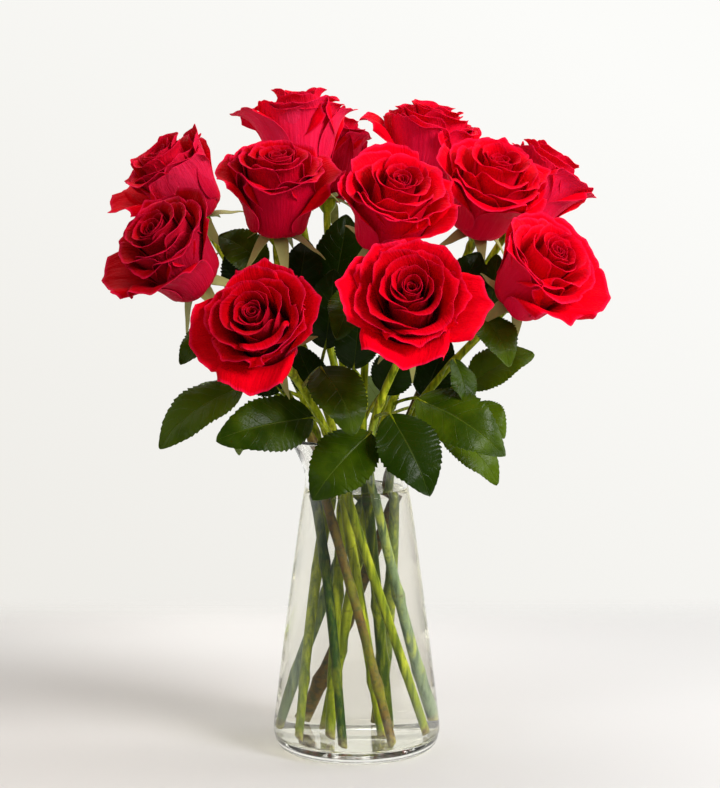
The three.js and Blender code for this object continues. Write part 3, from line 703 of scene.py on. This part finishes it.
def petalPoints(p, u, v):
    lineR, lineZ, lineAngle = petalLine(p)
    share = np.linspace(0, 1, len(lineR))
    out = np.abs(u)
    phase = p["phase"]
    # the outline: round shoulders, a short point in the middle, an uneven rim
    shape = 1 - p["round"] * out ** p["point"] - p["cusp"] * (1 - np.exp(-((u / 0.13) ** 2)))
    torn = np.sin(9 * u + phase) + 0.7 * np.sin(17 * u + 2 * phase) + 0.5 * np.sin(25 * u + 3 * phase)
    shape = shape + p["ruffle"] * 0.009 * torn * out
    reach = (p["from"] + (1 - p["from"]) * v) * (1 - (1 - shape) * smoothStep(0.15, 1, v))
    reach = np.clip(reach, 0, 1)
    r = np.interp(reach, share, lineR)
    z = np.interp(reach, share, lineZ)
    angle = np.radians(np.interp(reach, share, lineAngle))
    widening = p["slim"] + (1 - p["slim"]) * np.sin(np.clip(reach / 0.72, 0, 1) * math.pi / 2) ** 1.2
    wide = p["half"] * widening * (1 - 0.12 * smoothStep(0.8, 1, v))
    # the side edges roll back round a small arc, the nearer the rim the tighter
    rolled = 0.62
    side = np.where(u > 0, 1 + p["uneven"], 1 - p["uneven"])
    wrapAngle = np.maximum(p["edge"] * side * smoothStep(0.35, 0.95, v), 0.02)
    arc = (1 - rolled) * wide / wrapAngle
    past = np.maximum(out - rolled, 0) * wide / arc
    x = np.sign(u) * (np.minimum(out, rolled) * wide + arc * np.sin(past)) + p["sway"] * v**2
    # the petal wraps round the bloom, waves, and has a crease along its middle
    bend = np.maximum(r, 2.2) * p["wrap"]
    sag = bend * (1 - np.cos(x / bend)) - arc * (1 - np.cos(past))
    wave = np.sin(3.1 * u + phase) * 0.55 + np.sin(6.3 * u + phase * 2.3 + v * 2) * 0.35
    wave = wave + np.sin(12.0 * u - phase) * 0.22 * smoothStep(0.8, 1, v)
    sag = sag + p["ruffle"] * wave * smoothStep(0.4, 1, v)
    sag = sag + p["crease"] * np.exp(-((u / 0.1) ** 2)) * smoothStep(0.45, 0.9, v)
    sag = sag + p["skew"] * u * smoothStep(0.1, 0.7, v)
    radial = r - sag * np.cos(angle)
    along = bend * np.sin(x / bend)
    turn = math.radians(p["turn"])
    px = radial * math.cos(turn) - along * math.sin(turn)
    py = radial * math.sin(turn) + along * math.cos(turn)
    pz = z + sag * np.sin(angle)
    return np.stack([px, py, pz], axis=-1)


def petalsOf(rose):
    draw = random.Random(rose["seed"])
    vary = draw.uniform
    opened = rose["open"]
    found = []
    turn = vary(0, 360)
    spin = draw.choice((-1, 1))
    for n, ring in enumerate(petalRings):
        far = n / (len(petalRings) - 1)  # 0 at the heart, 1 in the outermost ring
        for k in range(ring["count"]):
            turn += spin * (360 / ring["count"] + vary(-16, 16))
            found.append(
                {
                    **ring, "turn": turn, "cup": ring["cup"] * (1 + opened * 0.16 * far) + k * 0.62,
                    "root": 1.5 + n * 0.4, "rise": 3.0, "from": 0.12, "slim": 0.55, "wrap": 1.0,
                    "edge": ring["edge"] * vary(0.6, 1.4), "uneven": vary(-0.5, 0.5),
                    "ruffle": (0.15 + 0.65 * far) * vary(0.7, 1.3), "round": 0.07 + 0.07 * far,
                    "point": vary(1.3, 2.2), "cusp": vary(0.0, 0.035) * (0.3 + far),
                    "crease": vary(-0.5, 0.7) * far, "sway": vary(-2.4, 2.4) * far, "phase": vary(0, 6),
                    "skew": spin * (1.0 - 0.3 * far), "curlFrom": 0.86 - 0.07 * far,
                    "length": ring["length"] + vary(-1.4, 1.4), "curl": ring["curl"] * vary(0.75, 1.2),
                    "flare": ring["flare"] + opened * 9 * far + max(opened - 0.3, 0) * 55 * far**2,
                    "layer": 0.75 * far + (0.4 - opened) * 0.9,
                }
            )
        turn += spin * 36
    # the guards, the most upright one first
    for k, placed in enumerate(sorted(rose["guards"], key=lambda g: g[3] + g[4] / 4)):
        at, length, half, flare, curl = placed
        found.append(
            {
                "turn": at, "cup": guard["cup"] + k * guard["out"], "root": 4,
                "rise": guard["rise"] - k * guard["down"], "from": 0.03, "slim": 0.42, "wrap": 1.12,
                "edge": vary(1.2, 2.2), "uneven": vary(-0.6, 0.6), "ruffle": vary(0.8, 1.7), "round": 0.13,
                "point": vary(1.3, 1.9), "cusp": vary(0.01, 0.06), "crease": vary(-0.8, 1.2),
                "sway": vary(-3, 3), "phase": vary(0, 6), "skew": spin * 0.6, "curlFrom": 0.72,
                "length": length, "half": half * guard["wider"],
                "lean": guard["lean"], "flare": flare, "curl": curl, "layer": 0.86 + 0.03 * k,
            }
        )
    return found


def bladeGrid(columns, rows, place):
    # a grid primitive whose points are set from place(u, v), u from -1 to 1 and v from 0 to 1
    clearSelection()
    bpy.ops.mesh.primitive_grid_add(x_subdivisions=columns, y_subdivisions=rows, size=2, calc_uvs=True)
    blade = bpy.context.object
    count = len(blade.data.vertices)
    flat = np.empty(count * 3)
    blade.data.vertices.foreach_get("co", flat)
    flat = flat.reshape(-1, 3)
    blade.data.vertices.foreach_set("co", place(flat[:, 0], (flat[:, 1] + 1) / 2).ravel())
    blade.data.update()
    return blade


def setNumber(piece, name, values):
    layer = piece.data.attributes.get(name) or piece.data.attributes.new(name, "FLOAT", "POINT")
    layer.data.foreach_set("value", np.broadcast_to(values, len(piece.data.vertices)).astype("f4").copy())


def joined(parts, name):
    clearSelection()
    for part in parts:
        part.select_set(True)
    bpy.context.view_layer.objects.active = parts[0]
    bpy.ops.object.join()
    piece = bpy.context.object
    piece.name = name
    bpy.ops.object.transform_apply(location=True, rotation=True, scale=True)
    return piece


def thicken(piece, thick):
    # gives the blades their thickness, and marks the points of their undersides in the attribute "back"
    before = len(piece.data.vertices)
    solid = piece.modifiers.new("thickness", "SOLIDIFY")
    solid.thickness = thick * mm
    solid.offset = 0
    solid.use_rim = True
    bpy.context.view_layer.objects.active = piece
    bpy.ops.object.modifier_apply(modifier=solid.name)
    setNumber(piece, "back", np.arange(len(piece.data.vertices)) < before)  # the new points come last
    bpy.ops.object.shade_smooth_by_angle(angle=math.radians(58))  # keeps the thin rims crisp


def makeBloom(rose):
    stand = standing(rose)
    draw = random.Random(rose["seed"] + 3)
    paintedLight, blush = roseShades[rose["name"]]
    blades = []
    for p in petalsOf(rose):

        def place(u, v):
            return seated(petalPoints(p, u, v) * rose["size"], stand)

        blade = bladeGrid(petal["columns"], petal["rows"], place)
        setNumber(blade, "tint", draw.random())
        setNumber(blade, "layer", p["layer"])
        setNumber(blade, "paintedLight", paintedLight)
        setNumber(blade, "blush", blush * draw.uniform(0.6, 1.1))
        blades.append(blade)
    bloom = joined(blades, rose["name"] + "_petals")
    thicken(bloom, petal["thick"])
    finishPiece(bloom, petalLook, rose["name"] + "_bloom")


for rose in roses:
    makeBloom(rose)
print("blooms made")


# stems
stem = {
    "radius": 2.75, "slimmer": 0.10, "roundness": 3, "stepsInVase": 22, "stepsAbove": 30,
    "footAt": 9.8, "past": 1.0, "cutSlope": 0.7,  # past: how far below footAt the slanted cut starts
    "straightOn": 50, "straightUp": 55,  # how firmly it leaves the neck and comes up to the bloom
    "bow": 1.6, "firstKnot": (25, 60), "knotGap": (38, 70), "knotStop": 60,
    "knotReach": 2.6, "knotSwell": 0.9, "hipLength": 11,
    "greensFrom": (178, 230), "rustFades": (190, 300),  # heights
    "hip": [(10, 3.3), (8.6, 4.3), (7, 5.4), (5, 6.2), (2.5, 6.4), (0.6, 6.0)],  # (drop, radius)
}
# how each stem looks inside the vase
# tint: 0 pale to 1 dark green. rust: 0 green to 1 woody. cool: towards blue-green
stemLooks = {
    "rose_01": (0.05, 0.0, 0.0), "rose_02": (1.0, 0.0, 0.0), "rose_03": (0.2, 0.55, 0.0),
    "rose_04": (0.0, 0.0, 0.0), "rose_05": (0.3, 0.15, 0.0), "rose_06": (0.6, 0.0, 0.0),
    "rose_07": (0.3, 0.0, 0.9), "rose_08": (0.7, 0.0, 0.6), "rose_09": (0.15, 0.0, 0.0),
    "rose_10": (0.3, 1.0, 0.0), "rose_11": (0.4, 0.3, 0.3), "rose_12": (0.25, 0.1, 0.0),
}


def bezier(a, b, c, d, t):
    return a * (1 - t) ** 3 + b * 3 * t * (1 - t) ** 2 + c * 3 * t**2 * (1 - t) + d * t**3


def stemLine(rose):
    # straight from the foot to the neck of the vase, then bending up to the bloom
    axis = Vector(rose["axis"]).normalized()
    base = Vector(rose["base"])
    neck = Vector((*rose["neck"], vase["neckAt"]))
    foot = Vector((*rose["foot"], stem["footAt"]))
    rise = (neck - foot).normalized() * stem["straightOn"]
    ends = (neck, neck + rise, base - axis * stem["straightUp"], base - axis * stem["hipLength"])
    return foot, ends


def tube(name, points, radii):
    curve = bpy.data.curves.new(name, "CURVE")
    curve.dimensions = "3D"
    curve.bevel_depth = mm
    curve.bevel_resolution = stem["roundness"]
    curve.use_fill_caps = True
    run = curve.splines.new("POLY")
    run.points.add(len(points) - 1)
    for spot, point, radius in zip(run.points, points, radii):
        spot.co = (*(Vector(point) * mm), 1)
        spot.radius = radius
    piece = bpy.data.objects.new(name, curve)
    scene.collection.objects.link(piece)
    clearSelection()
    piece.select_set(True)
    bpy.context.view_layer.objects.active = piece
    bpy.ops.object.convert(target="MESH")
    piece = bpy.context.object
    bpy.ops.object.mode_set(mode="EDIT")
    bpy.ops.mesh.select_all(action="SELECT")
    bpy.ops.mesh.remove_doubles(threshold=0.005 * mm)
    bpy.ops.mesh.normals_make_consistent(inside=False)
    bpy.ops.object.mode_set(mode="OBJECT")
    bpy.ops.object.shade_smooth()
    return piece


def makeStem(rose):
    draw = random.Random(rose["seed"] + 5)
    foot, ends = stemLine(rose)
    neck = ends[0]
    axis = Vector(rose["axis"]).normalized()
    base = Vector(rose["base"])
    way = (neck - foot).normalized()
    low = foot - way * stem["past"]
    inVase, above = stem["stepsInVase"], stem["stepsAbove"]
    points = [low.lerp(neck, k / inVase) for k in range(inVase)]
    points += [bezier(*ends, k / above) for k in range(above + 1)]
    side = (neck - foot).cross(Vector((0, 0, 1))).normalized()
    bow = draw.uniform(-stem["bow"], stem["bow"])
    for k in range(inVase):
        points[k] = points[k] + side * bow * math.sin(math.pi * k / inVase)
    lengths = np.concatenate([[0], np.cumsum([(b - a).length for a, b in zip(points, points[1:])])])
    knots = [draw.uniform(*stem["firstKnot"])]
    while knots[-1] < lengths[-1] - stem["knotStop"]:
        knots.append(knots[-1] + draw.uniform(*stem["knotGap"]))
    radii = []
    for at in lengths:
        swell = sum(math.exp(-(((at - knot) / stem["knotReach"]) ** 2)) for knot in knots)
        slimmed = stem["radius"] * (1.02 - stem["slimmer"] * at / lengths[-1])
        radii.append(slimmed + stem["knotSwell"] * swell)
    points += [base - axis * drop for drop, _ in stem["hip"]]
    radii += [radius for _, radius in stem["hip"]]
    piece = tube(rose["name"] + "_rod", points, radii)
    co = np.empty(len(piece.data.vertices) * 3)
    piece.data.vertices.foreach_get("co", co)
    co = co.reshape(-1, 3) / mm
    # the foot is cut at a slant
    way, low = np.array(way), np.array(low)
    atEnd = (co - low) @ way < 0.5
    turn = draw.uniform(0, 6)
    slant = np.array((math.cos(turn), math.sin(turn), 0))
    lift = stem["cutSlope"] * ((co - low) @ slant + stem["radius"])
    co = co + np.outer(np.where(atEnd, lift, 0), way)
    piece.data.vertices.foreach_set("co", (co * mm).ravel())
    # above the vase every stem turns a fresh green, and paler, partly as painted light for the stems in the
    # bouquet's shade
    tint, rust, cool = stemLooks[rose["name"]]
    green = smoothStep(*stem["greensFrom"], co[:, 2])
    setNumber(piece, "tint", tint * (1 - green) - 0.2 * green)
    setNumber(piece, "rust", rust * (1 - smoothStep(*stem["rustFades"], co[:, 2])))
    setNumber(piece, "cool", cool * (1 - green))
    setNumber(piece, "cut", atEnd)
    line = np.array(points[: len(lengths)])
    nearKnot = 0
    for knot in knots:
        middle = [np.interp(knot, lengths, line[:, k]) for k in range(3)]
        apart = ((co - middle) ** 2).sum(axis=1) - stem["radius"] ** 2
        nearKnot = nearKnot + np.exp(-np.maximum(apart, 0) / (1.3 * stem["knotReach"]) ** 2)
    setNumber(piece, "knot", np.clip(nearKnot, 0, 1))
    piece.data.materials.append(stemLook)
    return piece


# leaves
leaf = {
    "thick": 0.4, "columns": 20, "rows": 108, "teeth": 18, "tooth": 0.11, "fullness": 0.74,
    "pucker": 0.09, "ripple": 1.3, "edgeRipple": 0.8, "droop": 0.22, "tipCurl": 3.5,
    "bendAt": 0.55, "bendRise": 3, "ribReach": 0.30, "ribBelow": 0.45,
    "stalk": [1.7, 1.35, 1.1, 1.1, 1.1, 1.1, 1.1, 1.1, 0.95, 0.75, 0.55, 0.35],  # radii along it
}
# rose: whose stem. from: the height on the stem. base, tip: the ends of the blade. face: where its upper
# side looks. half: half width. fold: how far the sides rise, in degrees. arch: how far the middle bends up
# tint: 1 bright, 0 dark, below 0 painted darker as painted shade inside the bouquet; drawn where it isn't
# given
leaflets = [
    {"rose": 3, "from": 226, "half": 18, "fold": 14, "arch": 7, "tint": 1.3,
     "base": (-72, -32, 240), "tip": (-124, -46, 205), "face": (-0.2, -0.65, 0.7)},
    {"rose": 5, "from": 208, "half": 19, "fold": 12, "arch": 4, "tint": 0.2,
     "base": (-27, -56, 224), "tip": (-84, -86, 216), "face": (0.05, -0.9, 0.45)},
    {"rose": 7, "from": 206, "half": 20, "fold": 10, "arch": 4, "tint": 0.3,
     "base": (9, -59, 215), "tip": (-27, -81, 178), "face": (-0.15, -0.9, 0.4)},
    {"rose": 7, "from": 220, "half": 20, "fold": 12, "arch": 4, "tint": -0.3,
     "base": (21, -58, 226), "tip": (45, -84, 181), "face": (0.15, -0.85, 0.5)},
    {"rose": 5, "from": 238, "half": 19, "fold": 14, "arch": 4, "tint": 0.55,
     "base": (-22, -62, 256), "tip": (0, -87, 220), "face": (0.35, -0.8, 0.5)},
    {"rose": 11, "from": 212, "half": 19, "fold": 12, "arch": 8, "tint": 0.55,
     "base": (38, -37, 233), "tip": (92, -60, 202), "face": (0.1, -0.85, 0.5)},
    {"rose": 11, "from": 212, "half": 14, "fold": 14, "arch": 5, "tint": 1.2,
     "base": (56, -16, 212), "tip": (90, -32, 180), "face": (0.3, -0.8, 0.5)},
    {"rose": 10, "from": 225, "half": 15, "fold": 20, "arch": 5, "tint": 1.4,
     "base": (72, 4, 236), "tip": (112, 0, 259), "face": (-0.3, -0.8, 0.5)},
    {"rose": 11, "from": 242, "half": 11, "fold": 20, "arch": 3,
     "base": (61, -30, 257), "tip": (68, -46, 230), "face": (0.6, -0.7, 0.3)},
    {"rose": 3, "from": 247, "half": 14, "fold": 14, "arch": 3,
     "base": (-78, -20, 280), "tip": (-110, -44, 258), "face": (-0.2, -0.75, 0.6)},
    {"rose": 6, "from": 270, "half": 13, "fold": 14, "arch": 3,
     "base": (0, -34, 300), "tip": (-12, -62, 276), "face": (0.1, -0.85, 0.5)},
    {"rose": 4, "from": 285, "half": 14, "fold": 12, "arch": 3,
     "base": (-57, -6, 314), "tip": (-87, -2, 334), "face": (-0.2, -0.75, 0.6)},
    {"rose": 11, "from": 262, "half": 13, "fold": 16, "arch": 3, "tint": 0.9,
     "base": (80, -26, 284), "tip": (96, -44, 256), "face": (0.2, -0.7, 0.65)},
    {"rose": 12, "from": 250, "half": 19, "fold": 12, "arch": 4, "tint": -0.6,
     "base": (-16, 30, 288), "tip": (-6, 22, 344), "face": (0.1, -1, 0.1)},
    {"rose": 4, "from": 262, "half": 14, "fold": 12, "arch": 4, "tint": -0.6,
     "base": (-38, 4, 288), "tip": (-32, 12, 330), "face": (0, -1, 0.1)},
    {"rose": 2, "from": 270, "half": 14, "fold": 14, "arch": 4, "tint": -0.6,
     "base": (-74, 24, 290), "tip": (-72, 14, 334), "face": (-0.1, -1, 0.1)},
    {"rose": 6, "from": 236, "half": 14, "fold": 12, "arch": 4, "tint": -0.6,
     "base": (-2, -22, 250), "tip": (2, -30, 290), "face": (0.1, -1, 0.2)},
    {"rose": 4, "from": 236, "half": 17, "fold": 12, "arch": 4, "tint": -0.6,
     "base": (-20, -12, 262), "tip": (-14, -14, 312), "face": (0.1, -1, 0.2)},
    {"rose": 9, "from": 262, "half": 16, "fold": 14, "arch": 3, "tint": -0.6,
     "base": (60, 4, 284), "tip": (78, 0, 322), "face": (-0.1, -1, 0.1)},
    {"rose": 6, "from": 214, "half": 14, "fold": 12, "arch": 4, "tint": -0.6,
     "base": (16, -14, 234), "tip": (34, -24, 268), "face": (0.1, -1, 0.3)},
    {"rose": 9, "from": 222, "half": 14, "fold": 12, "arch": 4, "tint": -0.6,
     "base": (43, 7, 228), "tip": (59, 3, 266), "face": (-0.1, -1, 0.1)},
    {"rose": 3, "from": 214, "half": 14, "fold": 14, "arch": 4, "tint": -0.6,
     "base": (-48, -20, 236), "tip": (-74, -28, 264), "face": (-0.1, -1, 0.3)},
    {"rose": 8, "from": 240, "half": 16, "fold": 12, "arch": 4, "tint": -0.6,
     "base": (28, 30, 270), "tip": (12, 22, 318), "face": (0, -1, 0.1)},
    {"rose": 4, "from": 214, "half": 12, "fold": 14, "arch": 4, "tint": -0.6,
     "base": (-24, -12, 232), "tip": (-38, -14, 264), "face": (-0.1, -1, 0.3)},
    {"rose": 10, "from": 222, "half": 12, "fold": 14, "arch": 4, "tint": 1.3,
     "base": (74, 2, 224), "tip": (94, -12, 205), "face": (0.1, -0.85, 0.5)},
    {"rose": 2, "from": 225, "half": 16, "fold": 14, "arch": 8,
     "base": (-68, 26, 236), "tip": (-122, 40, 214), "face": (-0.3, 0.1, 0.9)},
    {"rose": 2, "from": 212, "half": 17, "fold": 12, "arch": 6,
     "base": (-50, 34, 214), "tip": (-80, 70, 184), "face": (-0.5, 0.4, 0.7)},
    {"rose": 12, "from": 224, "half": 18, "fold": 12, "arch": 7,
     "base": (2, 76, 232), "tip": (20, 114, 198), "face": (0.1, 0.7, 0.7)},
    {"rose": 8, "from": 208, "half": 17, "fold": 12, "arch": 6,
     "base": (38, 52, 216), "tip": (66, 82, 186), "face": (0.3, 0.6, 0.7)},
    {"rose": 10, "from": 262, "half": 11, "fold": 14, "arch": 3,
     "base": (86, 12, 286), "tip": (90, 4, 320), "face": (0, -1, 0.1)},
]


def leafPoints(one, u, v, phase):
    base, tip = np.array(one["base"], float), np.array(one["tip"], float)
    along = tip - base
    side = np.cross(along, np.array(one["face"], float))
    side = side / np.linalg.norm(side)
    up = np.cross(side, along)
    up = up / np.linalg.norm(up)
    fold = math.radians(one["fold"])
    out = np.abs(u)
    saw = (v * leaf["teeth"] + np.where(u > 0, 0.35, 0.0)) % 1.0
    size = 0.75 + 0.35 * np.sin(v * 31 + phase * 5)
    tooth = 1 + leaf["tooth"] * size * (saw - 0.5) * smoothStep(0.04, 0.15, v) * (1 - smoothStep(0.93, 1, v))
    outline = np.sin(math.pi * np.clip(v, 0, 1) ** 0.82) ** leaf["fullness"]
    half = 0.35 + one["half"] * outline * (1 + (tooth - 1) * out**3)
    puffs = np.sin((v * 7.5 - out * 1.7) * 2 * math.pi)  # between the side veins
    pucker = leaf["pucker"] * puffs * np.sin(math.pi * np.clip(out, 0, 1))
    ripple = leaf["ripple"] * np.sin(v * 7 + phase + u * 1.2) * out**2
    ripple = ripple + leaf["edgeRipple"] * np.sin(v * 13 + phase * 2) * out**3
    droop = -leaf["droop"] * one["half"] * out**2 * np.sin(math.pi * v)
    lift = one["arch"] * np.sin(math.pi * v) + out * half * math.sin(fold) + droop + pucker + ripple
    curl = -leaf["tipCurl"] * smoothStep(0.75, 1, v) * (1 if one["half"] > 12 else 0.4)  # less on small ones
    points = base + np.outer(v, along) + np.outer(lift + curl, up)
    return points + np.outer(-u * half * math.cos(fold), side)


def stalkLine(one, ends):
    # in a bend from the stem to the blade's base, then on under the blade as its thick midrib
    start = next((p for p in (bezier(*ends, k / 60) for k in range(61)) if p.z > one["from"]), ends[3])
    base = Vector(one["base"])
    bend = start.lerp(base, leaf["bendAt"]) + Vector((0, 0, leaf["bendRise"]))
    along = Vector(one["tip"]) - base
    inward = along * leaf["ribReach"]
    down = along.cross(along.cross(Vector(one["face"]))).normalized()
    path = []
    for t in (k / 8 for k in range(9)):
        path.append(start * (1 - t) ** 2 + bend * 2 * t * (1 - t) + base * t**2)
    for t in (0.33, 0.66, 1):
        arched = down * one["arch"] * math.sin(math.pi * 0.3 * t)
        path.append(base + inward * t + down * leaf["ribBelow"] - arched)
    return path


def makeLeaves(rose, number):
    draw = random.Random(rose["seed"] + 9)
    ends = stemLine(rose)[1]
    blades, stalks = [], []
    for one in leaflets:
        if one["rose"] != number:
            continue
        phase = draw.uniform(0, 6)
        blade = bladeGrid(leaf["columns"], leaf["rows"], lambda u, v: leafPoints(one, u, v, phase) * mm)
        tint = draw.random()
        setNumber(blade, "tint", one.get("tint", tint))
        blades.append(blade)
        stalk = tube(rose["name"] + "_stalk", stalkLine(one, ends), leaf["stalk"])
        setNumber(stalk, "tint", 0.3)
        setNumber(stalk, "rust", draw.uniform(0.1, 0.4))
        stalk.data.materials.append(stemLook)
        stalks.append(stalk)
    if blades:
        leaves = joined(blades, rose["name"] + "_leaves")
        thicken(leaves, leaf["thick"])
        finishPiece(leaves, leafLook, rose["name"] + "_stem")
    return stalks


# sepals
sepal = {
    "count": 5, "from": 4.6, "reach": 31, "half": 4.2, "tip": 0.25, "below": 2.2, "tipRise": 3.2,
    "thick": 0.5, "columns": 8, "rows": 26,
}


def makeSepals(rose):
    stand = standing(rose)
    draw = random.Random(rose["seed"] + 7)
    blades = []
    for k in range(sepal["count"]):
        turn = math.radians(k * 360 / sepal["count"] + draw.uniform(-9, 9))
        fall = draw.uniform(0.2, 1.05)
        sway = draw.uniform(-3, 3)
        reachTo = sepal["reach"] * draw.uniform(0.8, 1.05)

        def place(u, v):
            half = sepal["half"] * (1 - v**1.4) * (0.75 + 0.5 * smoothStep(0, 0.3, v)) + sepal["tip"]
            reach = sepal["from"] + (reachTo - sepal["from"]) * v
            lift = -sepal["below"] - reachTo * fall * v**1.5
            lift = lift + 1.5 * np.sin(v * 3.0) + 0.8 * np.abs(u) * (1 - v)
            lift = lift + sepal["tipRise"] * smoothStep(0.6, 1, v)
            side = u * half + sway * v**2
            x = reach * math.cos(turn) - side * math.sin(turn)
            y = reach * math.sin(turn) + side * math.cos(turn)
            return seated(np.stack([x, y, lift], -1), stand)

        blade = bladeGrid(sepal["columns"], sepal["rows"], place)
        setNumber(blade, "tint", draw.random())
        blades.append(blade)
    piece = joined(blades, rose["name"] + "_sepals")
    thicken(piece, sepal["thick"])
    finishPiece(piece, sepalLook, rose["name"] + "_stem")


for number, rose in enumerate(roses, 1):
    rod = makeStem(rose)
    cane = joined([rod, *makeLeaves(rose, number)], rose["name"] + "_cane")
    finishPiece(cane, stemLook, rose["name"] + "_stem")
    makeSepals(rose)
print("stems, leaves and sepals made")
